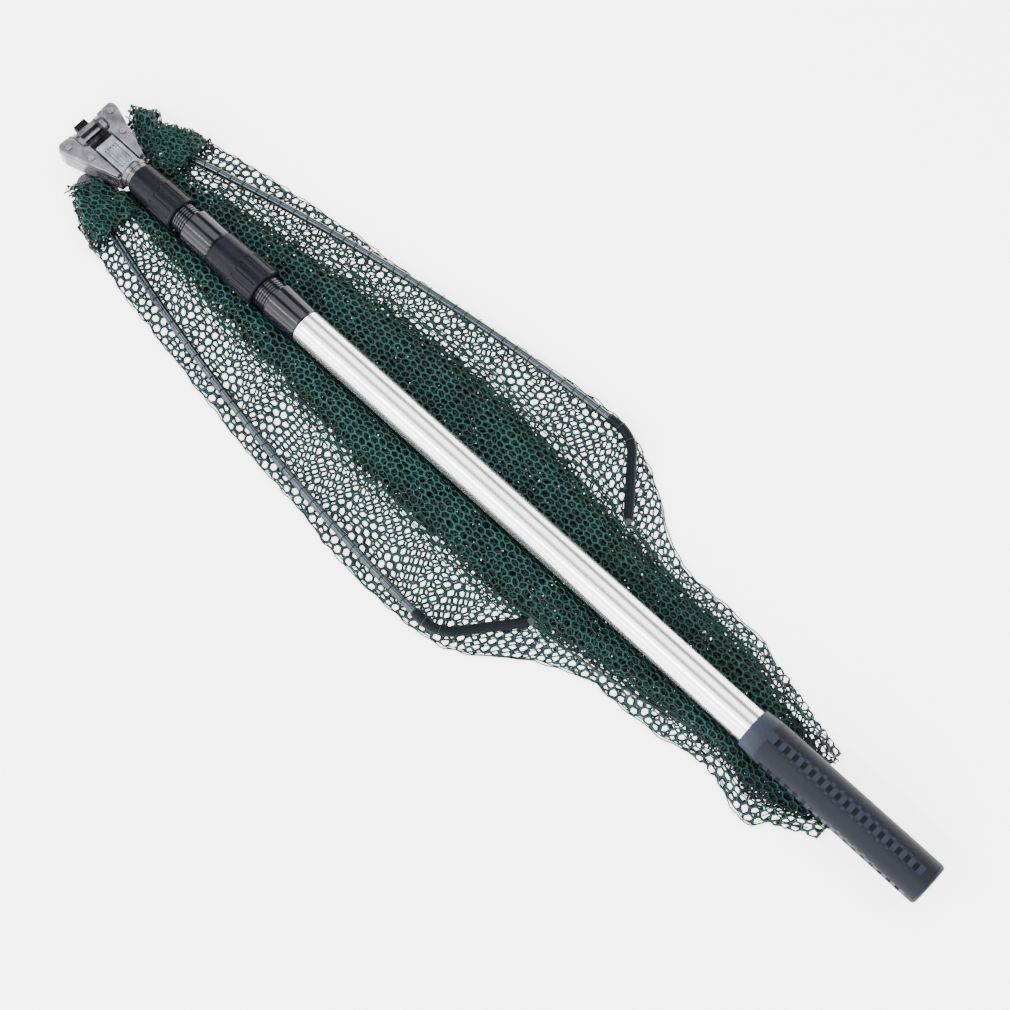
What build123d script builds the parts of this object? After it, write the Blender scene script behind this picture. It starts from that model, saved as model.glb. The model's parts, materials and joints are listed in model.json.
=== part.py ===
"""Folding landing net: a three-section telescopic pole with a hinged triangular net head.

Millimetres. X runs along the pole, from the hub (-X) to the butt (+X). Z is up and Y is across.
The net is folded: its head lies back under the pole, on the ground plane z = 0.
"""

import os
from math import asin, atan2, cos, degrees, hypot, radians, sin

from build123d import *

os.makedirs("parts", exist_ok=True)

# Driving dimensions
POLE_Z = 20.4  # height of the pole's axis
FIT = 0.08  # radial gap of a running fit
GAP = 0.3  # radial gap between parts that only pass each other

GRIP_X, BUTT_X = 219.2, 350.0
GRIP_R, GRIP_FRONT_R = 13.75, 12.7
CAP_LENGTH = 4.0
SLOT_COUNT, SLOT_PITCH, SLOT_WIDTH = 17, 6.26, 2.9
PANEL_COUNT = 4

OUTER_R, OUTER_WALL = 11.0, 1.0
MIDDLE_R, MIDDLE_WALL = 9.5, 0.9
INNER_R, INNER_WALL = 8.0, 0.8
TRAVEL = 400.0  # of each sliding section
OUTER_FRONT, MIDDLE_FRONT, INNER_FRONT = -166.0, -240.0, -296.0
OUTER_REAR, MIDDLE_REAR, INNER_REAR = 346.0, 326.0, 306.0

HUB_FRONT, HUB_REAR = -343.5, -292.0
HUB_LOW, HUB_TOP, CHEEK_THICK = 11.0, 27.0, 2.8
WINDOW_X, WINDOW_Y, WINDOW_FLOOR = -324.0, 11.0, 14.0
CHANNEL_X, CHANNEL_Y, CHANNEL_Z = -298.6, 7.7, 16.5
PIN_X, PIN_Z, PIN_R = -337.7, 17.4, 2.0
CHEEK_RIVETS = [(-337.0, 18.0), (-321.0, 13.4)]
RIVET_DEPTH = 4.0  # of the cheek rivets, in the casting

EAR_IN, EAR_OUT, EAR_R = 7.6, 10.6, 7.6
WEB_LOW, WEB_TOP = 7.9, 10.4  # of the web that ties the ears together
PLATE_LOW, PLATE_TOP = 1.9, 4.4
ROOT_X, ROOT_Y, ROOT_R = -318.0, 22.5, 8.0
ROOT_LOW, ROOT_TOP, ARM_Z = 4.7, 9.2, 7.0
ARM_R, ARM_WALL, ARM_BOW = 2.5, 0.7, 9.5
ARM_START, ARM_END = (-306.0, 29.2), (32.0, 85.0)
ELBOW_R, ELBOW_BEND, ELBOW_TURN, ELBOW_REACH = 3.2, 24.0, 54.0, 42.5
REST_SKEW = {"left": 0.55, "right": -0.55}  # degrees that each arm stands out from the mean

ROD_R, ROD_LENGTH, ROD_BOW, KNUCKLE_R = 0.9, 161.0, 7.0, 2.2
ROD_LEVEL = {"left": 2.9, "right": 5.1}
ROD_END_Y = 3.0  # how far the rods' free ends lie from the middle at rest

NET_THICK = 1.6
FOLD_TOP, FOLD_CORE_TOP, FOLD_IN = 12.0, 6.1, 14.6

POLE = Axis((0, 0, POLE_Z), (1, 0, 0))


def save(solid, name):
    solid.label = name
    export_step(solid, f"parts/{name}.step")


def turned(*profile):
    """A solid turned about the pole's axis from (x, radius) corners."""
    face = make_face(Polyline(*[(x, 0, POLE_Z + r) for x, r in profile], close=True))
    return revolve(face, POLE)


def tube(front, rear, radius, wall):
    return turned((front, radius), (rear, radius), (rear, radius - wall), (front, radius - wall))


def box(x, y, z):
    """A box from its ranges along X, Y and Z."""
    return Pos(x[0], y[0], z[0]) * Box(
        x[1] - x[0], y[1] - y[0], z[1] - z[0], align=(Align.MIN, Align.MIN, Align.MIN)
    )


def post(x, y, z, radius):
    """An upright round bar over a range of heights."""
    return Pos(x, y, z[0]) * Cylinder(
        radius, z[1] - z[0], align=(Align.CENTER, Align.CENTER, Align.MIN)
    )


def across(x, z, y, radius):
    """A round bar along Y over a range."""
    centre = (y[0] + y[1]) / 2
    return Pos(x, centre, z) * Rot(90, 0, 0) * Cylinder(radius, y[1] - y[0])


def plate(corners, z):
    """A flat plate with this outline over a range of heights."""
    outline = make_face(Polyline(*[(x, y, z[0]) for x, y in corners], close=True))
    return extrude(outline, z[1] - z[0], dir=(0, 0, 1))


def both(solid):
    """The solid and its mirror image across the pole."""
    return solid + mirror(solid, Plane.XZ)


def on_side(side, solid):
    """A solid drawn for the left (+Y) side, for either side."""
    return solid if side == "left" else mirror(solid, Plane.XZ)


# Outer section: grip, butt cap, outer tube, ferrule and collet


def grip():
    body = turned(
        (GRIP_X, OUTER_R),
        (GRIP_X, GRIP_FRONT_R - 0.6),
        (GRIP_X + 0.6, GRIP_FRONT_R),
        (232, GRIP_R),
        (BUTT_X - CAP_LENGTH, GRIP_R),
        (BUTT_X - CAP_LENGTH, OUTER_R),
    )
    first = 237.2
    panel_end = first + (SLOT_COUNT - 1) * SLOT_PITCH + 5
    recess = plate(
        [(224, 0), (229, -5.6), (panel_end, -5.6), (panel_end, 5.6), (229, 5.6)],
        (POLE_Z + GRIP_R - 0.45, POLE_Z + GRIP_R + 1),
    )
    cut = recess
    for i in range(SLOT_COUNT):
        from_end = min(i, SLOT_COUNT - 1 - i)
        half = 3.6 + 1.3 * min(from_end, 4) / 4
        x = first + i * SLOT_PITCH
        cut += box(
            (x - SLOT_WIDTH / 2, x + SLOT_WIDTH / 2),
            (-half, half),
            (POLE_Z + GRIP_R - 1.5, POLE_Z + GRIP_R + 1),
        )
    for i in range(PANEL_COUNT):
        body -= cut.rotate(POLE, i * 360 / PANEL_COUNT)
    return body


def butt_cap():
    rear = BUTT_X - CAP_LENGTH
    spigot = OUTER_R - OUTER_WALL
    return turned(
        (rear - 10, 0), (rear - 10, spigot), (rear, spigot), (rear, GRIP_R),
        (BUTT_X - 2, GRIP_R), (BUTT_X - 0.6, GRIP_R - 0.6), (BUTT_X, GRIP_R - 2), (BUTT_X, 0),
    )


def threaded_ferrule(tube_front, tube_r, skirt, thread, thread_r, bore_r):
    """A sleeve on a tube's front end, with a thread ahead of it for the lock nut.

    skirt is (front x, front radius, rear x, rear radius), thread is (front x, rear x).
    """
    front, front_r, rear, rear_r = skirt
    body = turned(
        (thread[0], bore_r),
        (thread[0], thread_r),
        (front, thread_r),
        (front, front_r - 0.5),
        (front + 0.5, front_r),
        (rear - 0.8, rear_r),
        (rear, rear_r - 0.6),
        (rear, tube_r),
        (tube_front, tube_r),
        (tube_front, bore_r),
    )
    pitch, depth = 1.8, 0.5
    count = int((thread[1] - thread[0]) / pitch)
    for i in range(count):
        x = thread[0] + (i + 0.5) * pitch
        body -= turned(
            (x - 0.4, thread_r + 0.1), (x + 0.4, thread_r + 0.1), (x, thread_r - depth)
        )
    return body


def lock_nut(front, step, rear, radii, bores, collet_rear, flutes):
    """A two-step lock nut. radii are front, step and rear, bores are lip, cone and thread."""
    lip, cone, thread = bores
    body = turned(
        (front, lip),
        (front, radii[0] - 0.7),
        (front + 0.7, radii[0]),
        (step, radii[1]),
        (step, radii[2] - 0.4),
        (step + 0.4, radii[2]),
        (rear - 0.6, radii[2]),
        (rear, radii[2] - 0.6),
        (rear, thread),
        (collet_rear, thread),
        (front + 1.4, cone),
        (front + 1.4, lip),
    )
    groove = Pos((step + rear) / 2 + 0.2, 0, POLE_Z + radii[2] + 1.0)
    groove *= Rot(0, 90, 0) * Cylinder(1.6, rear - step - 4)
    for i in range(flutes):
        body -= groove.rotate(POLE, i * 360 / flutes)
    return body


def collet(front, rear, front_r, rear_r, bore_r):
    """A tapered clamping ring with six slits from its front."""
    body = turned((front, bore_r), (front, front_r), (rear, rear_r), (rear, bore_r))
    slit = box((front - 1, rear - 2.5), (-0.5, 0.5), (POLE_Z, POLE_Z + rear_r + 2))
    for i in range(6):
        body -= slit.rotate(POLE, i * 60)
    return body


def outer_section():
    save(grip(), "grip")
    save(butt_cap(), "butt_cap")
    save(tube(OUTER_FRONT, OUTER_REAR, OUTER_R, OUTER_WALL), "outer_tube")
    bore = MIDDLE_R + GAP
    save(
        threaded_ferrule(
            OUTER_FRONT, OUTER_R, (-168.3, 12.5, -143.4, 11.7), (-205.5, -168.3), 10.6, bore
        ),
        "outer_ferrule",
    )
    save(collet(-217.6, -205.8, 10.2, 10.9, MIDDLE_R + FIT), "lower_collet")
    save(
        lock_nut(
            -219.4, -200.2, -179.2, (12.4, 13.0, 13.5), (MIDDLE_R + GAP, 10.6, 11.3), -205.0, 16
        ),
        "lower_lock_nut",
    )


# Middle and inner sections: tubes, stop rings, ferrule, collet and lock nut


def middle_section():
    save(tube(MIDDLE_FRONT, MIDDLE_REAR, MIDDLE_R, MIDDLE_WALL), "middle_tube")
    stop = OUTER_FRONT + TRAVEL + 0.5
    ring_r = OUTER_R - OUTER_WALL - FIT
    save(tube(stop, stop + 14, ring_r, ring_r - MIDDLE_R), "middle_stop_ring")
    bore = INNER_R + GAP
    save(
        threaded_ferrule(
            MIDDLE_FRONT, MIDDLE_R, (-242.8, 12.0, -219.8, 12.0), (-281.0, -242.8), 9.5, bore
        ),
        "middle_ferrule",
    )
    save(collet(-289.8, -281.3, 8.8, 9.3, INNER_R + FIT), "upper_collet")
    save(
        lock_nut(
            -291.5, -274.3, -253.4, (10.8, 11.3, 11.9), (INNER_R + GAP, 9.2, 9.9), -280.6, 14
        ),
        "upper_lock_nut",
    )


def inner_section():
    save(tube(INNER_FRONT, INNER_REAR, INNER_R, INNER_WALL), "inner_tube")
    stop = MIDDLE_FRONT + TRAVEL + 0.5
    ring_r = MIDDLE_R - MIDDLE_WALL - FIT
    save(tube(stop, stop + 14, ring_r, ring_r - INNER_R), "inner_stop_ring")


# Hub: the casting on the inner tube, its cheek plates, rivets, pin and latch


def hub_body():
    low, top = HUB_LOW, HUB_TOP - CHEEK_THICK
    corners = [(-298, 10.9), (-336.5, 23.4), (-341, 23.4), (HUB_FRONT, 20.9)]
    outline = corners + [(x, -y) for x, y in reversed(corners)]
    body = plate(outline, (low, top))
    toe = body.edges().filter_by(Axis.Y).sort_by(Axis.X)[0:2].sort_by(Axis.Z)[0]
    body = chamfer(toe, 3.0)
    ear_x = PIN_X + EAR_R + GAP
    body -= box((HUB_FRONT - 1, ear_x), (-WINDOW_Y, WINDOW_Y), (low - 1, top + 1))
    body -= box((ear_x - 1, WINDOW_X), (-EAR_IN, EAR_IN), (WINDOW_FLOOR, top + 1))
    body -= box((WINDOW_X - 1, CHANNEL_X), (-CHANNEL_Y, CHANNEL_Y), (CHANNEL_Z, top + 1))
    spigot = INNER_R - INNER_WALL
    neck = turned(
        (-299.4, 0),
        (-299.4, 9.8),
        (-297, 10.2),
        (-294.8, 9.8),
        (-294.8, 9.2),
        (HUB_REAR, 9.2),
        (HUB_REAR, INNER_R),
        (INNER_FRONT, INNER_R),
        (INNER_FRONT, spigot),
        (-268, spigot),
        (-268, 0),
    )
    neck -= box((-301, CHANNEL_X), (-CHANNEL_Y, CHANNEL_Y), (CHANNEL_Z, HUB_TOP + 8))
    body += neck
    body -= across(PIN_X, PIN_Z, (-19.6, 19.6), PIN_R)
    for x, y in CHEEK_RIVETS:
        body -= both(post(x, y, (top - RIVET_DEPTH, top), 1.4))
    body -= box((-322.5, -301.6), (-2.2, 2.2), (12.6, CHANNEL_Z))
    return body


def cheek_plate():
    low = HUB_TOP - CHEEK_THICK
    outline = [(-299.6, 7.9), (-299.6, 11.2), (-336.5, 23.2), (-340.6, 23.2), (-342.8, 21),
               (-342.8, 15.2), (-338.8, 11.8), (-330.8, 11.4), (-327.6, 8.1)]
    body = plate(outline, (low, HUB_TOP))
    body = fillet(body.edges().filter_by(Axis.Z).sort_by(Axis.X)[0:4], 1.4)
    body = chamfer(body.faces().sort_by(Axis.Z)[-1].edges(), 0.7)
    for x, y in CHEEK_RIVETS:
        body -= post(x, y, (low, HUB_TOP), 1.4)
    return body


def rivet(x, y, shank, shank_r, head_r, head):
    """A rivet with a domed head on top of its shank."""
    body = post(x, y, shank, shank_r)
    cap = post(x, y, (shank[1], shank[1] + head), head_r)
    return body + fillet(cap.edges().sort_by(Axis.Z)[-1], head * 0.6)


def latch_slider():
    """The thumb slide in the hub's channel, with ribs along its thumb recess and a nose below."""
    front, rear, half = -323.5, -299.0, CHANNEL_Y - GAP
    body = box((front, rear), (-half, half), (21.5, HUB_TOP - 0.2))
    body = chamfer(body.edges().filter_by(Axis.X).sort_by(Axis.Z)[-2:], 0.8)
    body += box((-313, -302.2), (-1.7, 1.7), (13.2, 21.5))
    body -= box((-318.5, -302), (-4.6, 4.6), (HUB_TOP - 1.4, HUB_TOP))
    for i in range(4):
        y = -3.3 + 2.2 * i
        body += box((-318.5, -302.8), (y - 0.5, y + 0.5), (25, HUB_TOP - 0.6))
    return body


def latch_spring():
    """The slide's return spring at its pressed length, in the slot under the slide."""
    path = Helix(pitch=1.0, height=5, radius=1.25, center=(-318.5, 0, 14.9), direction=(1, 0, 0))
    section = Plane(origin=path @ 0, z_dir=path % 0) * Circle(0.22)
    return sweep(section, path, is_frenet=True)


def hub():
    save(hub_body(), "hub_body")
    for side in ("left", "right"):
        save(on_side(side, cheek_plate()), f"{side}_cheek_plate")
    top = HUB_TOP
    shank = (top - CHEEK_THICK - RIVET_DEPTH, top)
    rivets = [both(rivet(x, y, shank, 1.4, 2.5, 0.9)) for x, y in CHEEK_RIVETS]
    save(Compound([s for pair in rivets for s in pair.solids()]), "hub_rivets")
    save(across(PIN_X, PIN_Z, (-19.6, 19.6), PIN_R), "hinge_pin")
    save(latch_slider(), "latch_slider")
    save(latch_spring(), "latch_spring")


# Head carrier: it turns on the hinge pin and holds both arms


def head_carrier():
    ear = across(PIN_X, PIN_Z, (EAR_IN, EAR_OUT), EAR_R)
    ear += box((-344, -322.5), (EAR_IN, EAR_OUT), (PLATE_LOW, 10.4))
    body = both(ear)
    body += box((-344.6, -341.2), (-EAR_IN, EAR_IN), (13.4, 19.6))
    body += box((-344, -330.2), (-EAR_IN, EAR_IN), (WEB_LOW, WEB_TOP))
    base = plate(
        [(-330, -13), (-326, -22.5), (-310, -22.5), (-306, -13), (-306, 13), (-310, 22.5),
         (-326, 22.5), (-330, 13)],
        (PLATE_LOW, PLATE_TOP),
    )
    base += both(post(ROOT_X, ROOT_Y, (PLATE_LOW, PLATE_TOP), ROOT_R))
    body += base
    body -= both(post(ROOT_X, ROOT_Y, (0, PLATE_TOP), 2.4))
    body -= across(PIN_X, PIN_Z, (-12, 12), PIN_R + FIT)
    return body


def end_bumper():
    body = box((-350, -344.6), (-4.4, 4.4), (13.6, 19.4))
    return fillet(body.edges().filter_by(Axis.Y).sort_by(Axis.X)[0:2], 1.2)


def arm_rivet():
    return rivet(ROOT_X, ROOT_Y, (PLATE_LOW, ROOT_TOP + 0.1), 2.4, 4.2, 1.0)


# Arms: a cast root on its rivet, a bowed tube and a bent elbow at the tip


def arm_heading(share):
    """The arm tube's plan heading in degrees, at a share of its length."""
    chord = degrees(atan2(ARM_END[1] - ARM_START[1], ARM_END[0] - ARM_START[0]))
    length = hypot(ARM_END[0] - ARM_START[0], ARM_END[1] - ARM_START[1])
    swing = degrees(4 * ARM_BOW / length)
    return chord + swing * (1 - 2 * share)


def arm_line():
    start, end = (*ARM_START, ARM_Z), (*ARM_END, ARM_Z)
    heading = radians(arm_heading(0))
    return TangentArc(start, end, tangent=(cos(heading), sin(heading), 0))


def pipe(line, radius, bore=None):
    plane = Plane(origin=line @ 0, z_dir=line % 0)
    body = sweep(plane * Circle(radius), line)
    return body if bore is None else body - sweep(plane * Circle(bore), line)


def arm_root():
    heading = radians(arm_heading(0))
    start = (ARM_START[0] - 1.5 * cos(heading), ARM_START[1] - 1.5 * sin(heading), ARM_Z)
    body = post(ROOT_X, ROOT_Y, (ROOT_LOW, ROOT_TOP), ROOT_R)
    web = [(ROOT_X + 3, ROOT_Y - 3), (ROOT_X - 3, ROOT_Y + 7), (-303, 33.4), (-301, 26.6)]
    body += plate(web, (ROOT_LOW, ROOT_TOP))
    socket = Plane(origin=start, z_dir=(cos(heading), sin(heading), 0))
    body += socket * Cylinder(3.7, 14, align=(Align.CENTER, Align.CENTER, Align.MIN))
    body -= pipe(arm_line(), ARM_R)
    body -= post(ROOT_X, ROOT_Y, (0, 20), 2.4 + FIT)
    return body


def elbow_line():
    start = arm_line() @ 0.99
    straight = Line(start, arm_line() @ 1 + arm_line() % 1 * 3)
    bend = JernArc(straight @ 1, straight % 1, ELBOW_BEND, -ELBOW_TURN)
    return straight + bend + Line(bend @ 1, bend @ 1 + (bend % 1) * ELBOW_REACH)


def elbow():
    """The black corner tube, over the arm's tip, hollowed at its end for the rod's knuckle."""
    body = pipe(elbow_line(), ELBOW_R)
    body -= pipe(arm_line(), ARM_R)
    return body - post(pivot().X, pivot().Y, (0, 2 * ARM_Z), KNUCKLE_R + GAP)


def pivot():
    """Where the front rod hinges on the elbow."""
    line = elbow_line()
    return line @ 1 + (line % 1) * 1.2


def skewed(side, shape):
    """An arm part turned from the mean rest angle to its own, on its rivet."""
    return shape.rotate(Axis((ROOT_X, ROOT_Y, 0), (0, 0, 1)), REST_SKEW[side])


def front_rod(side):
    """Half of the flexible front rod: a knuckle at the elbow, then a bowed rod to the middle."""
    turn = radians(REST_SKEW[side])
    x, y = pivot().X - ROOT_X, pivot().Y - ROOT_Y
    start_x = ROOT_X + x * cos(turn) - y * sin(turn)
    start_y = ROOT_Y + x * sin(turn) + y * cos(turn)
    chord = -degrees(asin((start_y - ROD_END_Y) / ROD_LENGTH))
    level = ROD_LEVEL[side]
    line = Spline(
        (0, 0, ARM_Z),
        (34, 0.6 * ROD_BOW, (ARM_Z + level) / 2 - 0.9),
        (66, 0.9 * ROD_BOW, level),
        (100, ROD_BOW, level),
        (ROD_LENGTH, 0, level),
    )
    section = Plane(origin=line @ 0, z_dir=line % 0) * Circle(ROD_R)
    body = sweep(section, line) + post(0, 0, (ARM_Z - 2, ARM_Z + 2), KNUCKLE_R)
    return on_side(side, Pos(start_x, start_y, 0) * Rot(0, 0, chord) * body)


def arms():
    for side in ("left", "right"):
        save(on_side(side, arm_rivet()), f"{side}_arm_rivet")
        for name, solid in (
            ("arm_root", arm_root()),
            ("arm_tube", pipe(arm_line(), ARM_R, ARM_R - ARM_WALL)),
            ("elbow", elbow()),
        ):
            save(on_side(side, skewed(side, solid)), f"{side}_{name}")
        save(front_rod(side), f"{side}_front_rod")


# Net: the spread skin on the ground, and the folds that lie along the pole

NET_EDGE = [(-326, 38), (-284, 52), (-206, 66.5), (-108, 79), (-30, 89), (10, 92.5), (40, 91),
            (68, 79), (96, 58), (122, 46), (190, 42), (217, 32), (252, 34.5), (284, 14)]


def net_bag():
    outline = NET_EDGE + [(x, -y) for x, y in reversed(NET_EDGE)]
    return plate(outline, (0, NET_THICK))


def net_folds():
    """The gathered net beside the pole, inside the arm."""
    outline = [(-288, FOLD_IN), (-288, 26), (-150, 54), (-20, 70), (28, 72), (44, 40), (50, FOLD_IN)]
    body = plate(outline, (NET_THICK, FOLD_TOP))
    return chamfer(body.faces().sort_by(Axis.Z)[-1].edges(), 3.0)


def net():
    save(net_bag(), "net_bag")
    save(box((-288, 50), (-FOLD_IN, FOLD_IN), (NET_THICK, FOLD_CORE_TOP)), "net_core")
    for side in ("left", "right"):
        save(on_side(side, net_folds()), f"net_folds_{side}")


outer_section()
middle_section()
inner_section()
hub()
save(head_carrier(), "head_carrier")
save(end_bumper(), "end_bumper")
arms()
net()
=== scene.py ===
"""The looks of a folded landing net, built around its CAD frame. Metres, Z up, X along the pole."""

import json
import math

import bpy
import numpy as np
from mathutils import Matrix, Vector


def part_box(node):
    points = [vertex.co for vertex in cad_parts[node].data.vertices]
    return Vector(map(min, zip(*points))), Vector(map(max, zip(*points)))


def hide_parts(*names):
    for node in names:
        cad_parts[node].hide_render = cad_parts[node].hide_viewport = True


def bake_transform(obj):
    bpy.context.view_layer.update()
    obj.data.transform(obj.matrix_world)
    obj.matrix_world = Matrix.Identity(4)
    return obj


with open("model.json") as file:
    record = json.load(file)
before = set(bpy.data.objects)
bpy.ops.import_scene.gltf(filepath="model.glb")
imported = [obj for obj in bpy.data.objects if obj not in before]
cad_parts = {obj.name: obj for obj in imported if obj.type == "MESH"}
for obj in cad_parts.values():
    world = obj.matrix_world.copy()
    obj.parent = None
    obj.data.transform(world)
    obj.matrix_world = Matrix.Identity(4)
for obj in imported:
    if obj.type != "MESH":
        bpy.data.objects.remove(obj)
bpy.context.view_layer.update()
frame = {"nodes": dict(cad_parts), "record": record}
nodes = frame["nodes"]
MM = 0.001
POLE_Z = sum(corner[2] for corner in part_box("outer_tube")) / 2


# Camera, floor and light


def aimed(thing, back, place):
    """Puts a camera or light at a place, with its back to a direction and its X axis level."""
    right = Vector((0, 0, 1)).cross(back).normalized()
    turn = Matrix((right, back.cross(right), back)).transposed().to_4x4()
    holder = bpy.data.objects.new(thing.name, thing)
    holder.matrix_world = Matrix.Translation(place) @ turn
    bpy.context.scene.collection.objects.link(holder)
    return holder


def add_camera():
    """Looks down on the net from the butt's end, a little to its right side."""
    back = Vector((0.2363, -0.2473, 0.9397)).normalized()
    target = Vector((0.0247, 0.0, POLE_Z))
    distance = 1.221
    lens = bpy.data.cameras.new("camera")
    lens.lens = 73.6
    lens.clip_end = 20
    bpy.context.scene.camera = aimed(lens, back, target + back * distance)


def add_floor():
    """A plain white sheet that sweeps up all round, softly lit from behind as on a product table."""
    flat, bend, sides, steps = 6.0, 4.0, 48, 12
    points, faces = [], [tuple(range(sides))]
    for k in range(steps + 1):
        rise = math.pi / 2 * k / steps
        radius, height = flat + bend * math.sin(rise), bend * (1 - math.cos(rise))
        for turn in range(sides):
            angle = math.tau * turn / sides
            points.append((radius * math.cos(angle), radius * math.sin(angle), height))
    for low in range(0, steps * sides, sides):
        for turn in range(sides):
            after = (turn + 1) % sides
            faces.append((low + turn, low + after, low + sides + after, low + sides + turn))
    mesh = bpy.data.meshes.new("floor")
    mesh.from_pydata(points, [], faces)
    mesh.polygons.foreach_set("use_smooth", [k > 0 for k in range(len(faces))])
    floor = bpy.data.objects.new("floor", mesh)
    material, shader, _ = new_material("floor_paper")
    shader.inputs["Base Color"].default_value = (0.93, 0.93, 0.935, 1)
    shader.inputs["Roughness"].default_value = 0.9
    shader.inputs["Specular IOR Level"].default_value = 0.1
    shader.inputs["Emission Color"].default_value = (1, 1, 1, 1)
    shader.inputs["Emission Strength"].default_value = 2.6
    mesh.materials.append(material)
    bpy.context.scene.collection.objects.link(floor)


def add_softbox(name, angle, width, radiance, distance=1.6, length=2.6):
    """A long light parallel to the pole, at an angle from straight up, positive towards +Y."""
    turn = math.radians(angle)
    lamp = bpy.data.lights.new(name, "AREA")
    lamp.shape = "RECTANGLE"
    lamp.size, lamp.size_y = length, width
    lamp.energy = radiance * math.pi * length * width
    place = Vector((0, math.sin(turn), math.cos(turn))) * distance
    light = bpy.data.objects.new(name, lamp)
    light.matrix_world = Matrix.Translation(place) @ Matrix.Rotation(-turn, 4, "X")
    bpy.context.scene.collection.objects.link(light)


def add_lights():
    """Three softboxes beside the pole, a thin strip that draws its highlight, and a dim room."""
    world = bpy.data.worlds.new("world")
    world.use_nodes = True
    background = world.node_tree.nodes["Background"]
    background.inputs["Color"].default_value = (1, 1, 1, 1)
    background.inputs["Strength"].default_value = 0.3
    bpy.context.scene.world = world
    add_softbox("box_right", -46, 2.08, 4.4)
    add_softbox("box_left", 22, 1.1, 4.6)
    add_softbox("box_low_left", 80, 0.3, 3.2)
    add_softbox("strip", -39, 0.06, 40, distance=1.5)


# Materials


def new_material(name):
    """A material, its Principled shader, and a helper that adds a node and links its inputs."""
    material = bpy.data.materials.new(name)
    material.use_nodes = True
    tree = material.node_tree
    shader = tree.nodes["Principled BSDF"]

    def add(kind, inputs=None, **settings):
        node = tree.nodes.new(kind)
        for key, value in settings.items():
            setattr(node, key, value)
        for key, value in (inputs or {}).items():
            if isinstance(value, bpy.types.NodeSocket):
                tree.links.new(value, node.inputs[key])
            else:
                node.inputs[key].default_value = value
        return node

    return material, shader, add


def link(material, output, socket):
    material.node_tree.links.new(output, socket)


def noise(add, scale, detail=3.0):
    """Noise over object coordinates, with its own scale on each axis."""
    coords = add("ShaderNodeTexCoord")
    mapped = add("ShaderNodeMapping", {"Vector": coords.outputs["Object"], "Scale": scale})
    grains = add("ShaderNodeTexNoise", {"Vector": mapped.outputs[0], "Scale": 1.0, "Detail": detail})
    return grains.outputs["Fac"]


def ramp(add, source, low, high, stops=(0.3, 0.7)):
    """Colours from low to high over a source's values."""
    node = add("ShaderNodeValToRGB", {"Fac": source})
    for element, place, colour in zip(node.color_ramp.elements, stops, (low, high)):
        element.position = place
        element.color = (*colour, 1)
    return node.outputs["Color"]


def spread(add, source, low, high):
    """A number from low to high over a source's 0 to 1."""
    return add("ShaderNodeMapRange", {"Value": source, "To Min": low, "To Max": high}).outputs[0]


def roughen(material, add, shader, source, low, high):
    link(material, spread(add, source, low, high), shader.inputs["Roughness"])


def add_bump(material, add, shader, height, strength, distance=0.0002):
    bump = add("ShaderNodeBump", {"Height": height, "Strength": strength, "Distance": distance})
    link(material, bump.outputs["Normal"], shader.inputs["Normal"])
    return bump


def drawn_metal(name, low, high, roughness):
    """Satin anodised tube with fine draw lines along it."""
    material, shader, add = new_material(name)
    lines = noise(add, (3, 1800, 1800))
    link(material, ramp(add, noise(add, (14, 60, 60)), low, high), shader.inputs["Base Color"])
    roughen(material, add, shader, lines, roughness - 0.06, roughness + 0.08)
    shader.inputs["Metallic"].default_value = 0.95
    add_bump(material, add, shader, lines, 0.12)
    return material


def moulded(name, low, high, roughness, grain, gloss=0.35):
    """Moulded plastic or rubber: a fine grain and faint handling marks."""
    material, shader, add = new_material(name)
    shader.inputs["Specular IOR Level"].default_value = gloss
    marks = noise(add, (60, 60, 60), 4.0)
    link(material, ramp(add, marks, low, high), shader.inputs["Base Color"])
    roughen(material, add, shader, marks, roughness - 0.05, roughness + 0.08)
    add_bump(material, add, shader, noise(add, (2600, 2600, 2600), 2.0), grain)
    return material


def grip_rubber():
    """Charcoal rubber, paler where the panels are let into it, with painted shade near black at the slots'
    floors.

    Its tone follows the distance from the pole's middle line.
    """
    slot_floor, surface = 12.1 * MM, 13.7 * MM
    material, shader, add = new_material("grip_rubber")
    coords = add("ShaderNodeTexCoord")
    split = add("ShaderNodeSeparateXYZ", {"Vector": coords.outputs["Object"]})
    level = add("ShaderNodeMapRange", {
        "Value": split.outputs["Z"], "From Min": POLE_Z, "From Max": POLE_Z + 1, "To Max": 1.0,
    }, clamp=False)
    across = add("ShaderNodeCombineXYZ", {"X": split.outputs["Y"], "Y": level.outputs[0]})
    radius = add("ShaderNodeVectorMath", {0: across.outputs[0]}, operation="LENGTH").outputs["Value"]
    depth = add("ShaderNodeMapRange", {"Value": radius, "From Min": slot_floor, "From Max": surface})
    tone = add("ShaderNodeValToRGB", {"Fac": depth.outputs[0]})
    stops = tone.color_ramp.elements
    # The slots' floors near black: painted shade in the recesses.
    stops[0].position, stops[0].color = 0.16, (0.001, 0.002, 0.005, 1)
    stops[1].position, stops[1].color = 0.99, (0.007, 0.008, 0.013, 1)
    for place, colour in ((0.36, (0.025, 0.028, 0.043, 1)), (0.93, (0.014, 0.016, 0.026, 1))):
        stops.new(place).color = colour
    shader.inputs["Specular IOR Level"].default_value = 0.1
    mottle = noise(add, (420, 420, 420), 5.0)
    shade = add("ShaderNodeMixRGB", {
        "Fac": 0.45,
        "Color1": tone.outputs["Color"],
        "Color2": ramp(add, mottle, (0.62, 0.62, 0.66), (1, 1, 1)),
    }, blend_type="MULTIPLY")
    link(material, shade.outputs[0], shader.inputs["Base Color"])
    roughen(material, add, shader, mottle, 0.42, 0.58)
    add_bump(material, add, shader, noise(add, (1500, 1500, 1500), 1.0), 0.25)
    return material


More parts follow.
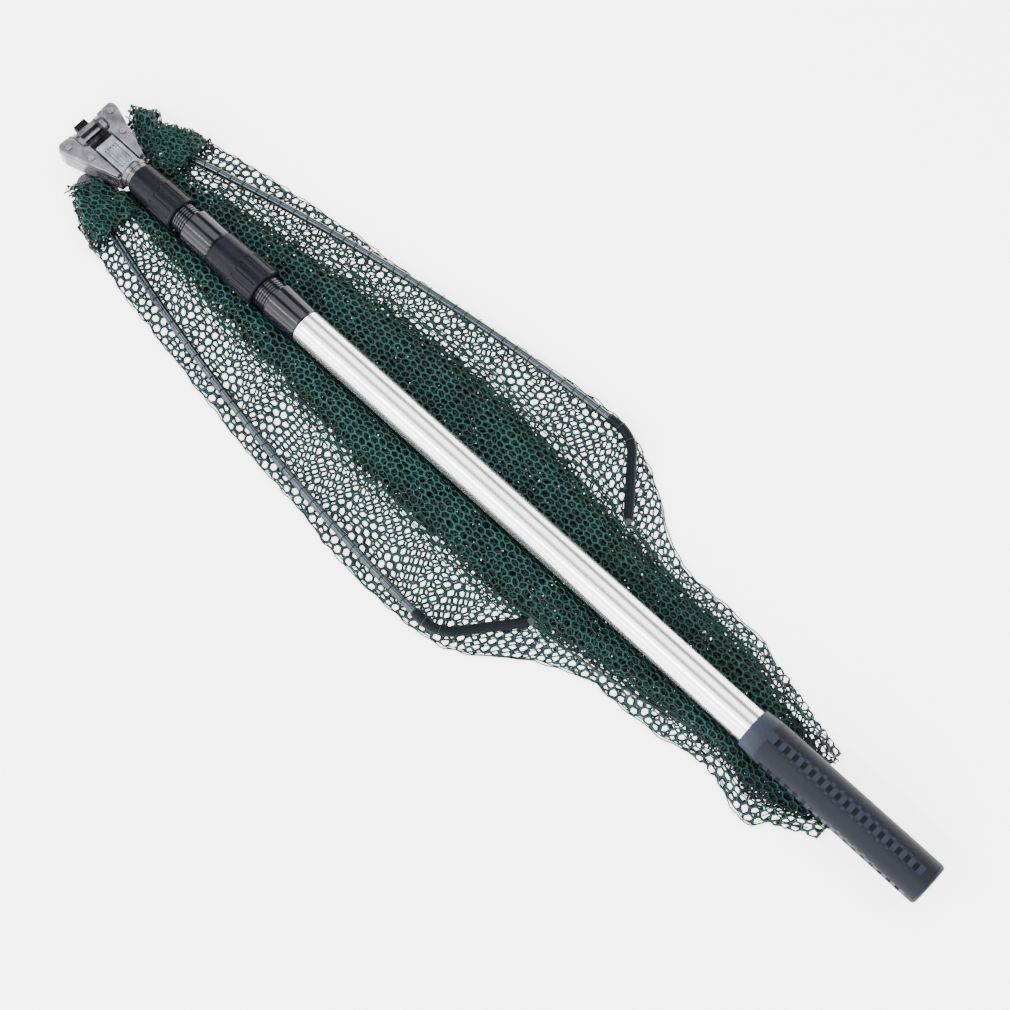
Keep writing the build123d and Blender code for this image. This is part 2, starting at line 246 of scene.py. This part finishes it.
def cast_alloy(name, low, high):
    """Tumbled die-cast alloy: softly pitted, with rounded edges that catch the light."""
    material, shader, add = new_material(name)
    blotch = noise(add, (160, 160, 160), 5.0)
    tint = ramp(add, blotch, low, high, (0.32, 0.68))
    link(material, tint, shader.inputs["Base Color"])
    roughen(material, add, shader, blotch, 0.14, 0.34)
    shader.inputs["Metallic"].default_value = 0.8
    bump = add_bump(material, add, shader, noise(add, (900, 900, 900), 4.0), 0.22, 0.0003)
    edges = add("ShaderNodeBevel", {"Radius": 0.0006}, samples=4)
    link(material, edges.outputs["Normal"], bump.inputs["Normal"])
    return material


def bright_steel():
    """Polished steel, faintly worn."""
    material, shader, add = new_material("bright_steel")
    wear = noise(add, (700, 700, 700), 4.0)
    link(material, ramp(add, wear, (0.07, 0.067, 0.075), (0.16, 0.157, 0.17)), shader.inputs["Base Color"])
    roughen(material, add, shader, wear, 0.08, 0.22)
    shader.inputs["Metallic"].default_value = 1.0
    return material


def netting(name, lit_and_shaded_tones):
    """Green nylon strands: their tone by height in millimetres, painted shade low down and painted light on
    the top strands, in patches, finely twisted.
    """
    material, shader, add = new_material(name)
    coords = add("ShaderNodeTexCoord")
    split = add("ShaderNodeSeparateXYZ", {"Vector": coords.outputs["Object"]})
    top = 20
    # Painted shade and light: the strands darken towards the floor and grow paler towards the top.
    height = add("ShaderNodeMapRange", {"Value": split.outputs["Z"], "From Min": 0.0, "From Max": top * MM})
    level = add("ShaderNodeValToRGB", {"Fac": height.outputs[0]})
    stops = level.color_ramp.elements
    for _ in range(len(lit_and_shaded_tones) - 2):
        stops.new(0.5)
    for stop, (z, colour) in zip(stops, lit_and_shaded_tones):
        stop.position = z / top
        stop.color = (*colour, 1)
    patches = ramp(add, noise(add, (50, 110, 110)), (0.42, 0.5, 0.5), (1.15, 1.1, 1.1), (0.36, 0.62))
    tint = add("ShaderNodeMixRGB", {
        "Fac": 1.0, "Color1": level.outputs["Color"], "Color2": patches,
    }, blend_type="MULTIPLY")
    link(material, tint.outputs[0], shader.inputs["Base Color"])
    twist = noise(add, (1900, 1900, 1900), 1.0)
    shader.inputs["Specular IOR Level"].default_value = 0.25
    roughen(material, add, shader, twist, 0.32, 0.55)
    add_bump(material, add, shader, twist, 0.5, 0.0003)
    return material


# Each netting's tones, as heights in millimetres with their colours: painted shade low in the folds and
# painted light on the top strands.
GREEN_LIT_AND_SHADED_TONES = [
    (5.6, (0.0025, 0.024, 0.026)), (6.5, (0.0005, 0.024, 0.019)), (11.2, (0.001, 0.028, 0.022)),
    (12.0, (0.006, 0.044, 0.038)), (13.0, (0.005, 0.040, 0.035)),
]
# The gathers' netting is a darker copy all through: painted shade for the folds inside the skin.
GATHERS_SHADED_TONES = [(5.0, (0.0003, 0.010, 0.009)), (11.0, (0.0006, 0.018, 0.016))]
# The tuft's netting is a near-black copy low down: painted shade beside and under the hub.
TUFT_SHADED_TONES = [(8.0, (0.0003, 0.006, 0.006)), (13.2, (0.001, 0.016, 0.014)), (15.5, (0.004, 0.036, 0.031))]

# Drawn metal: name, low and high colour, roughness. Cast alloy: name, low and high colour.
# Moulded: name, low and high colour, roughness, grain, gloss.
MATERIALS = {
    "grip_rubber": grip_rubber(),
    "silver_tube": drawn_metal("satin_aluminium", (0.80, 0.80, 0.82), (0.9, 0.9, 0.91), 0.2),
    "arm_tube": drawn_metal("plated_steel_tube", (0.030, 0.040, 0.046), (0.055, 0.066, 0.072), 0.1),
    "elbow": moulded("elbow_sleeve", (0.001, 0.003, 0.004), (0.003, 0.005, 0.007), 0.4, 0.3, 0.08),
    "black_plastic": moulded(
        "black_plastic", (0.002, 0.002, 0.005), (0.005, 0.005, 0.009), 0.28, 0.25, 0.10,
    ),
    "gloss_plastic": moulded(
        "gloss_plastic", (0.002, 0.002, 0.004), (0.005, 0.005, 0.009), 0.12, 0.05, 0.3,
    ),
    "cast_alloy": cast_alloy("cast_alloy", (0.054, 0.052, 0.060), (0.15, 0.145, 0.168)),
    "slider": cast_alloy("slide_alloy", (0.12, 0.13, 0.15), (0.24, 0.26, 0.30)),
    "steel": bright_steel(),
    "black_rubber": moulded("black_rubber", (0.002, 0.002, 0.003), (0.004, 0.004, 0.005), 0.6, 0.4, 0.07),
    "front_rod": moulded("front_rod", (0.006, 0.010, 0.010), (0.012, 0.018, 0.018), 0.25, 0.1, 0.3),
    # The nettings carry painted shade and light by height, and the gathers' and the tuft's are darker
    # copies, painted shade.
    "green_netting": netting("green_netting", GREEN_LIT_AND_SHADED_TONES),
    "gathers_shaded_netting": netting("gathers_shaded_netting", GATHERS_SHADED_TONES),
    "tuft_shaded_netting": netting("tuft_shaded_netting", TUFT_SHADED_TONES),
}


def dress_cad_nodes():
    """Gives each CAD node the material of its kind, or else of its slot."""
    for part in frame["record"]["subparts"]:
        kind = part["node"].partition("_")[2]
        name = kind if kind in ("arm_tube", "elbow", "slider") else part["material_slot"]
        for slot in nodes[part["node"]].material_slots:
            slot.link = "OBJECT"
            slot.material = MATERIALS[name]


# Netting: flat hexagonal mesh, laid along folded cross-sections that sweep down the pole

PITCH = 5.8 * MM
STRAND_W, STRAND_H = 0.78 * MM, 0.45 * MM
STEP_X, STEP_S = 3 * MM, 0.5 * MM
FLOOR_Z = 0.7 * MM
SKIN_CREST, GATHERS_CREST = 12.4 * MM, 10.9 * MM
GATHERED_PAST_FOLD = 4 * MM
FOLDS, FOLDS_TO_MIDDLE = 9, 4
LOOP_PITCH, LOOP_SECTION = 9.2 * MM, 0.3 * MM
LOOP_RADIUS, ELBOW_STEP = 3.1 * MM, 0.8 * MM

# Corners of lines in millimetres: x along the pole, then the distance out from its middle line.
# A tuft has two distances, its inner and its outer edge.

LEFT_EDGE = [(-338, 30), (-333, 44), (-327, 46), (-318, 40), (-303, 50), (-266, 58), (-220, 65), (-174, 71),
             (-108, 77), (-43, 86), (12, 93.5), (36, 93), (52, 89), (70, 81), (88, 70), (106, 57),
             (124, 50), (190, 48), (204, 41), (220, 34), (252, 29), (262, 25), (268, 14)]
RIGHT_EDGE = [(-326, 28), (-320, 37), (-300, 46), (-284, 51), (-252, 58), (-206, 65), (-160, 72),
              (-137, 76), (-76, 82), (-30, 88), (8, 90), (38, 88), (56, 84), (72, 75), (86, 63),
              (100, 53), (114, 46), (130, 40), (184, 36), (200, 31), (216, 28), (234, 36), (248, 40),
              (256, 37), (264, 27), (280, 18), (289, 10)]
LEFT_FOLD = [(-300, 24), (-240, 34), (-162, 45), (-105, 51), (-60, 55), (-17, 55), (22, 51.5), (52, 47.5),
             (84, 43), (120, 40), (190, 38), (215, 32), (262, 20)]
RIGHT_FOLD = [(-300, 20), (-228, 25), (-194, 29), (-148, 31), (-98, 35), (-64, 40), (-18, 41), (72, 41),
              (90, 38), (126, 31), (184, 24), (216, 22), (240, 28), (262, 22), (284, 10)]
LEFT_TUFT = [(-338, 33, 34), (-335.5, 27, 40), (-329, 23.5, 45), (-324, 21, 45), (-319, 18.2, 41),
             (-303, 13.4, 49), (-294, 11.8, 52), (-282, 12.2, 54)]
RIGHT_TUFT = [(-324, 35, 36), (-320, 25, 38), (-315, 17.2, 40), (-303, 13.2, 47), (-294, 11.6, 50),
              (-280, 12.2, 53)]


def ripple(x, y, wave, seed):
    """A smooth random field from -1 to 1 with about this wavelength."""
    r = np.random.default_rng(seed)
    total = 0 * (x + y)
    for _ in range(6):
        turn, phase = r.uniform(0, math.tau, 2)
        k = math.tau / (wave * r.uniform(0.7, 1.5))
        total = total + np.sin(k * (x * math.cos(turn) + y * math.sin(turn)) + phase)
    return total / 3.2


def smooth(t):
    """Eases from 0 to 1."""
    t = np.clip(t, 0, 1)
    return t * t * (3 - 2 * t)


def along(points, x, column=1):
    """Reads a line given as corner points in millimetres."""
    table = np.array(points, float) * MM
    return np.interp(x, table[:, 0], table[:, column])


def arm_line(side):
    """The middle line of an arm and its elbow, as x and distance from the middle, from the frame."""
    points = []
    for part in ("arm_tube", "elbow"):
        co = np.array([v.co for v in nodes[f"{side}_{part}"].data.vertices])
        for x in np.arange(co[:, 0].min(), co[:, 0].max(), 6 * MM):
            near = co[np.abs(co[:, 0] - x) < 4 * MM]
            if len(near):
                points.append((x, abs((near[:, 1].min() + near[:, 1].max()) / 2)))
    return np.array(sorted(points)).T


def past_elbow(x):
    """0 beside the arms, 1 beyond their elbows."""
    return smooth((x - 84 * MM) / (14 * MM))


class Side:
    """One side of the pole: its outline, its fold line and where its arm runs."""

    def __init__(self, name):
        self.name = name
        self.sign = 1 if name == "left" else -1
        self.edge = LEFT_EDGE if name == "left" else RIGHT_EDGE
        self.fold = LEFT_FOLD if name == "left" else RIGHT_FOLD
        self.tuft = LEFT_TUFT if name == "left" else RIGHT_TUFT
        self.arm = arm_line(name)

    def width(self, x):
        """How far out the bag reaches."""
        return along(self.edge, x) + 0.7 * MM * ripple(x, 0, 21 * MM, 5)

    def band(self, x):
        """How far out the gathered folds reach."""
        return along(self.fold, x)

    def beside(self, x):
        """The arm's run, carried on past its elbow just inside the bag's edge."""
        arm = np.interp(x, *self.arm)
        onward = arm + (self.width(x) - 7 * MM - arm) * past_elbow(x)
        return np.maximum(onward, self.band(x) + 8 * MM)

    def pleat(self, x):
        """The foot of the gathered band, where the skin lies in a small pleat."""
        pleat = self.band(x) + (4.6 + 0.9 * ripple(x, 0, 90 * MM, 17 + self.sign)) * MM
        return np.minimum(pleat, self.beside(x) - 7 * MM)


def settled(x):
    """How far the folds have come down towards the bag's tail."""
    return (3.4 * smooth((x - 60 * MM) / (60 * MM)) + 4 * smooth((x - 214 * MM) / (30 * MM))) * MM


def laid_out(profile, x_range):
    """Distance out and height on a grid of x and length along the cloth, from a cross-section.

    profile(x) gives the cross-section's corners in order, as (out, height). Its corners are rounded.
    """
    stations = np.arange(x_range[0], x_range[1] + STEP_X, STEP_X)
    rows, lengths = [], []
    for x in stations:
        corners = np.array(profile(x), float)
        run = np.concatenate([[0], np.cumsum(np.hypot(*np.diff(corners, axis=0).T))])
        even = np.arange(0, run[-1], STEP_S)
        line = np.stack([np.interp(even, run, corners[:, k]) for k in (0, 1)], 1)
        kernel = np.hanning(9) / np.hanning(9).sum()
        padded = np.pad(line, ((4, 4), (0, 0)), mode="edge")
        line = np.stack([np.convolve(padded[:, k], kernel, "valid") for k in (0, 1)], 1)
        run = np.concatenate([[0], np.cumsum(np.hypot(*np.diff(line, axis=0).T))])
        rows.append((run, line))
        lengths.append(run[-1])
    s = np.arange(0, max(lengths) + STEP_S, STEP_S)
    out = np.array([np.interp(s, run, line[:, 0]) for run, line in rows])
    high = np.array([np.interp(s, run, line[:, 1]) for run, line in rows])
    return stations, s, np.stack([out, high], -1), np.array(lengths)


def sampled(grid, x, s, x0):
    """Reads a grid at x and s by straight interpolation."""
    i = np.clip((x - x0) / STEP_X, 0, grid.shape[0] - 1.001)
    j = np.clip(s / STEP_S, 0, grid.shape[1] - 1.001)
    a, b = i.astype(int), j.astype(int)
    u, v = (i - a)[:, None], (j - b)[:, None]
    low = grid[a, b] * (1 - v) + grid[a, b + 1] * v
    high = grid[a + 1, b] * (1 - v) + grid[a + 1, b + 1] * v
    return low * (1 - u) + high * u


def hex_net(x_range, length, turn, inside):
    """A flat hexagonal net: x, s and lift of its corners, its faces, and its number of strands.

    inside(x, s) says which knots are kept. Each strand has a flattened four-sided section. Its
    faces share their corners at the knots, and are open where the net was cut.
    """
    middle = np.array([sum(x_range) / 2, length / 2])
    reach = math.hypot(x_range[1] - x_range[0], length) / 2 + PITCH
    count = int(reach / (PITCH * 0.75)) + 1
    i, j = np.meshgrid(np.arange(-count, count + 1), np.arange(-count, count + 1), indexing="ij")
    cos, sin = math.cos(turn), math.sin(turn)
    spin = np.array([[cos, sin], [-sin, cos]])
    first = np.stack([(i + j / 2) * PITCH, j * PITCH * math.sqrt(3) / 2], -1).reshape(-1, 2) @ spin + middle
    heads = np.array([(math.sqrt(3) / 2, 0.5), (-math.sqrt(3) / 2, 0.5), (0, -1)]) @ spin
    second = first + heads[0] * PITCH / math.sqrt(3)
    knots = np.concatenate([first, second])
    number = np.arange(i.size).reshape(i.shape)
    pairs = [(number, number), (number[1:, :], number[:-1, :]), (number[:, 1:], number[:, :-1])]
    kept = inside(knots[:, 0], knots[:, 1])
    corner_reach = STRAND_W / math.sin(math.radians(60))
    sign = np.repeat([-1.0, 1.0], i.size)
    corners = knots[:, None] + sign[:, None, None] * heads[None] * corner_reach
    flat = np.concatenate([knots[:, None], knots[:, None], corners], 1).reshape(-1, 2)
    lift = np.tile([1.0, -1.0, 0, 0, 0], len(knots))
    faces, strands = [], 0
    for k, (a, b) in enumerate(pairs):
        a, b = a.ravel(), b.ravel() + i.size
        both = kept[a] & kept[b]
        a, b = a[both] * 5, b[both] * 5
        strands += len(a)
        left, right = (k + 1) % 3, (k + 2) % 3
        a_left, a_right = a + 2 + right, a + 2 + left
        b_left, b_right = b + 2 + left, b + 2 + right
        faces += [
            np.stack([a, b, b_left, a_left], 1),
            np.stack([b, a, a_right, b_right], 1),
            np.stack([b + 1, a + 1, a_left, b_left], 1),
            np.stack([a + 1, b + 1, b_right, a_right], 1),
        ]
    faces = np.concatenate(faces)
    used = np.unique(faces)
    renumber = np.zeros(len(flat), int)
    renumber[used] = np.arange(len(used))
    return flat[used], lift[used], renumber[faces], strands


def netting_on(side, profile, x_range, turn, seed, keep, squeeze=1.0, gather=1.0, ruffle=0.4, crumple=0.0):
    """A net laid along a cross-section: its corners in space, its faces and its strands.

    squeeze is how far its cells are drawn together along the cross-section, and gather is how
    much further beside the pole.
    """
    stations, s_grid, grid, lengths = laid_out(profile, x_range)

    def wander(x, s):
        band = side.band(x) + GATHERED_PAST_FOLD
        s = np.maximum(s * squeeze * gather, s * squeeze - band * (1 / gather - 1))
        loose = 0.8 * MM * (1 - smooth((s - band) / (12 * MM)))
        dx = 1.2 * MM * ripple(x, s, 60 * MM, seed) + loose * ripple(x, s, 15 * MM, seed + 5)
        ds = 1.0 * MM * ripple(x, s, 52 * MM, seed + 1) + loose * ripple(x, s, 13 * MM, seed + 6)
        return x + dx, s + ds

    def inside(x, s):
        x, s = wander(x, s)
        fits = (x > x_range[0]) & (x < x_range[1]) & (s > 0) & (s < np.interp(x, stations, lengths))
        return fits & keep(x, sampled(grid, x, s, stations[0])[:, 0])

    gathered = (side.band(stations).max() + GATHERED_PAST_FOLD) * (1 / gather - 1)
    length = (s_grid[-1] + gathered) / squeeze
    flat, lift, faces, strands = hex_net(x_range, length, turn * side.sign, inside)
    x, s = wander(flat[:, 0], flat[:, 1])
    spot = sampled(grid, x, s, stations[0])
    slope = np.gradient(grid, STEP_S, axis=1)
    slope = sampled(slope, x, s, stations[0])
    slope /= np.maximum(np.hypot(slope[:, 0], slope[:, 1]), 1e-6)[:, None]
    out = spot[:, 0] - slope[:, 1] * lift * STRAND_H
    z = spot[:, 1] + slope[:, 0] * lift * STRAND_H
    z = z + ruffle * MM * ripple(x, s, 31 * MM, seed + 2) * smooth((spot[:, 0] - 15 * MM) / (6 * MM))
    z = z + crumple * MM * np.abs(ripple(x, s, 13 * MM, seed + 3))
    x = x + 0.6 * crumple * MM * ripple(x, s, 11 * MM, seed + 4)
    z = np.maximum(z, FLOOR_Z + (lift - 1) * 0.5 * STRAND_H)
    points = np.stack([x, side.sign * out, z], 1)
    if side.sign < 0:
        faces = faces[:, ::-1]
    return points, faces, strands


def selvedge(side, line, x, inset, height, seed, sink=0.0):
    """A thin cord inside one line of the bag, as corners and faces, with no strands of net.

    sink is how much of the folds' settling it follows.
    """
    corners = np.stack([x, line(x)], 1)
    run = np.concatenate([[0], np.cumsum(np.hypot(*np.diff(corners, axis=0).T))])
    even = np.arange(0, run[-1], 2 * MM)
    x = np.interp(even, run, corners[:, 0])
    out = line(x) - inset + 0.7 * MM * ripple(x, 0, 12 * MM, seed)
    ahead = np.stack([np.gradient(x), np.gradient(out)], 1)
    ahead /= np.hypot(*ahead.T)[:, None]
    z = height - sink * settled(x) + 0.4 * MM * ripple(x, 0, 40 * MM, seed + 1)
    ring = []
    reach = 0.5 * STRAND_W
    for across, up in ((1, 0), (0, 1), (-1, 0), (0, -1)):
        ring.append(np.stack([
            x - ahead[:, 1] * across * reach,
            side.sign * (out + ahead[:, 0] * across * reach),
            z + up * reach,
        ], 1))
    points = np.stack(ring, 1).reshape(-1, 3)
    start = np.arange(len(x) - 1)[:, None] * 4
    k = np.arange(4)
    here, over = start + k, start + (k + 1) % 4
    faces = np.stack([here, over, over + 4, here + 4], -1).reshape(-1, 4)
    return points, faces if side.sign > 0 else faces[:, ::-1], 0


def mesh_object(name, points, faces):
    """A smooth-shaded mesh of four-cornered faces."""
    mesh = bpy.data.meshes.new(name)
    mesh.vertices.add(len(points))
    mesh.vertices.foreach_set("co", points.astype(np.float32).ravel())
    count, corners = faces.shape
    mesh.loops.add(count * corners)
    mesh.loops.foreach_set("vertex_index", faces.astype(np.int32).ravel())
    mesh.polygons.add(count)
    mesh.polygons.foreach_set("loop_start", np.arange(0, count * corners, corners, dtype=np.int32))
    mesh.polygons.foreach_set("loop_total", np.full(count, corners, dtype=np.int32))
    mesh.polygons.foreach_set("use_smooth", np.full(count, True))
    mesh.update(calc_edges=True)
    piece = bpy.data.objects.new(name, mesh)
    bpy.context.scene.collection.objects.link(piece)
    return piece


def net_piece(name, nets, material="green_netting"):
    """One piece of the bag from its nets.

    A net of hexagons has three strands to every two knots, and so to every cell.
    """
    start, points, faces, strands = 0, [], [], 0
    for some_points, some_faces, some_strands in nets:
        points.append(some_points)
        faces.append(some_faces + start)
        start += len(some_points)
        strands += some_strands
    piece = mesh_object(name, np.concatenate(points), np.concatenate(faces))
    piece.data.materials.append(MATERIALS[material])
    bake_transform(piece)
    return piece


def beyond_hub(x, out):
    """Keeps the net clear of the hub's underside and the arm's root."""
    return out > 26 * MM * smooth((-297 * MM - x) / (5 * MM))


def arm_loops(side):
    """Thin loops of twine that tie the bag to the arm, as corners and faces."""
    low, high = (corner[2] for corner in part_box(f"{side.name}_arm_tube"))
    points, faces = [], []
    turns = np.linspace(0, math.tau, 13)[:-1]
    for x in np.arange(-284 * MM, 62 * MM, LOOP_PITCH):
        y = np.interp(x, *side.arm)
        ahead = np.array([2 * MM, np.interp(x + MM, *side.arm) - np.interp(x - MM, *side.arm)])
        ahead /= np.hypot(*ahead)
        x_mid = x + 1.2 * MM * ripple(x, 0, 19 * MM, 91)
        radius = LOOP_RADIUS + ELBOW_STEP * smooth((x - 26 * MM) / (6 * MM))
        for grow, shift in ((-1, 0), (0, 1), (1, 0), (0, -1)):
            r = radius + grow * LOOP_SECTION
            out = np.cos(turns) * r
            points.append(np.stack([
                x_mid - ahead[1] * out + ahead[0] * shift * LOOP_SECTION,
                side.sign * (y + ahead[0] * out + ahead[1] * shift * LOOP_SECTION),
                (low + high) / 2 + np.sin(turns) * r,
            ], 1))
    count = len(turns)
    ring = np.arange(len(points) // 4)[:, None, None] * 4 * count
    k, t = np.arange(4)[None, :, None], np.arange(count)[None, None, :]
    here, over = ring + k * count, ring + (k + 1) % 4 * count
    after = (t + 1) % count
    corners = np.broadcast_arrays(here + t, here + after, over + after, over + t)
    faces = np.stack(corners, -1).reshape(-1, 4)
    return np.concatenate(points), faces if side.sign > 0 else faces[:, ::-1], 0


def skin(side):
    """The bag's outer skin on one side: under the arm, round its edge, and back along the floor."""

    def profile(x):
        arm, band, pleat = side.beside(x), side.band(x), side.pleat(x)
        width = max(side.width(x), arm + 2 * MM)
        low, sink = (5.2 - 1.2 * past_elbow(x)) * MM, 2.6 * MM
        crest = SKIN_CREST - settled(x)
        ridge = low + (4.6 + 1.4 * ripple(x, 0, 50 * MM, 23 + side.sign)) * MM
        inner = max(arm - 9 * MM, pleat + 3 * MM)
        return [
            (-2 * MM, 5.2 * MM), (8 * MM, 5.5 * MM), (12 * MM, crest), (0.68 * band, crest),
            (pleat - 1.6 * MM, low + 0.4 * MM), (pleat, low), (pleat + 0.4 * MM, ridge),
            (pleat + 1.8 * MM, ridge), (pleat + 2.2 * MM, low), (inner, low), (inner + 2 * MM, sink),
            (width - 1.2 * MM, sink), (width, 2.0 * MM), (width - 0.8 * MM, 0.9 * MM),
            (0.5 * width, 0.8 * MM), (-2 * MM, 0.8 * MM),
        ]

    x_range = (side.edge[0][0] * MM, side.edge[-1][0] * MM)
    turn = math.radians(27)
    nets = [netting_on(side, profile, x_range, turn, 11 + side.sign, beyond_hub, gather=0.7)]
    outline = np.array(side.edge, float)[1:-1, 0] * MM
    ridge = np.arange(-258, 200, 4) * MM
    for inset, height, seed in ((0, 2.0, 71), (1.0, 1.2, 75)):
        nets.append(selvedge(side, side.width, outline, inset * MM, height * MM, seed))
    for inset, height, seed in ((4.4, 10.4, 81), (3.2, 10.0, 83), (2.0, 9.2, 87), (1.0, 8.2, 93)):
        nets.append(selvedge(side, side.pleat, ridge, inset * MM, height * MM, seed, sink=1.0))
    nets.append(arm_loops(side))
    return net_piece(f"net_skin_{side.name}", nets)


def gathers(side):
    """The folds of netting gathered beside the pole, inside the skin."""

    def profile(x):
        band = side.band(x)
        crest = GATHERS_CREST - 0.9 * settled(x)
        line = []
        for k in range(FOLDS):
            share = 1 - k / FOLDS
            level = (1.6 + 2.8 * share) * MM
            edge = band - (k // 2) * 1.6 * MM + 1.3 * MM * ripple(x, 0, 26 * MM, 61 + k)
            high = 1.6 * MM + (crest - 1.6 * MM) * share
            inner = (-1 if k < FOLDS_TO_MIDDLE else 5) * MM
            leg = [(inner, level), (8 * MM, level + 0.2 * MM), (12.2 * MM, high), (0.66 * edge, high),
                   (edge, 0.4 * (level + high))]
            line += leg if k % 2 == 0 else leg[::-1]
        return line

    x_range = (-306 * MM, side.fold[-1][0] * MM)
    net = netting_on(side, profile, x_range, math.radians(10), 41 + side.sign, beyond_hub, 0.8, ruffle=0.3)
    # A darker copy of the netting: painted shade in the folds inside the skin.
    return net_piece(f"net_gathers_{side.name}", [net], "gathers_shaded_netting")


def tuft(side):
    """The crumpled end of the bag beside the hub, over and under the arm's root."""

    def profile(x):
        inner, outer = along(side.tuft, x), along(side.tuft, x, 2)
        inner = inner + 0.5 * MM * ripple(x, 0, 9 * MM, 31)
        outer = max(outer + 1.2 * MM * ripple(x, 0, 8 * MM, 32 + side.sign), inner + 3 * MM)
        heights = [14.6, 13.8, 13.0, 12.2, 11.5]
        line = []
        for k, z in enumerate(heights):
            reach = outer - (5 - k) * MM + 1.5 * MM * ripple(x, 0, 11 * MM, 51 + k)
            leg = [(inner + 0.3 * k * MM, (z - 0.8) * MM), (inner + 3 * MM, z * MM), (reach, z * MM)]
            line += leg if k % 2 == 0 else leg[::-1]
        line += [(outer, 6 * MM), (outer - 1 * MM, 1.6 * MM), (inner - 8 * MM, 1.5 * MM),
                 (inner - 8 * MM, 0.9 * MM), (outer - 2 * MM, 0.8 * MM)]
        return line

    x_range = (side.tuft[0][0] * MM, side.tuft[-1][0] * MM)
    net = netting_on(
        side, profile, x_range, math.radians(-14), 81 + side.sign, lambda x, out: out > 0, 0.58,
        ruffle=0.0, crumple=1.5,
    )
    # A near-black copy of the netting: painted shade beside and under the hub.
    return net_piece(f"net_tuft_{side.name}", [net], "tuft_shaded_netting")


def add_net():
    """The whole bag, in place of the CAD model's plain soft solids."""
    pieces = []
    for name in ("left", "right"):
        side = Side(name)
        pieces += [skin(side), gathers(side), tuft(side)]
    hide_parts("net_bag", "net_core")
    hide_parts("net_folds_left")
    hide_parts("net_folds_right")


add_camera()
add_floor()
add_lights()
dress_cad_nodes()
add_net()
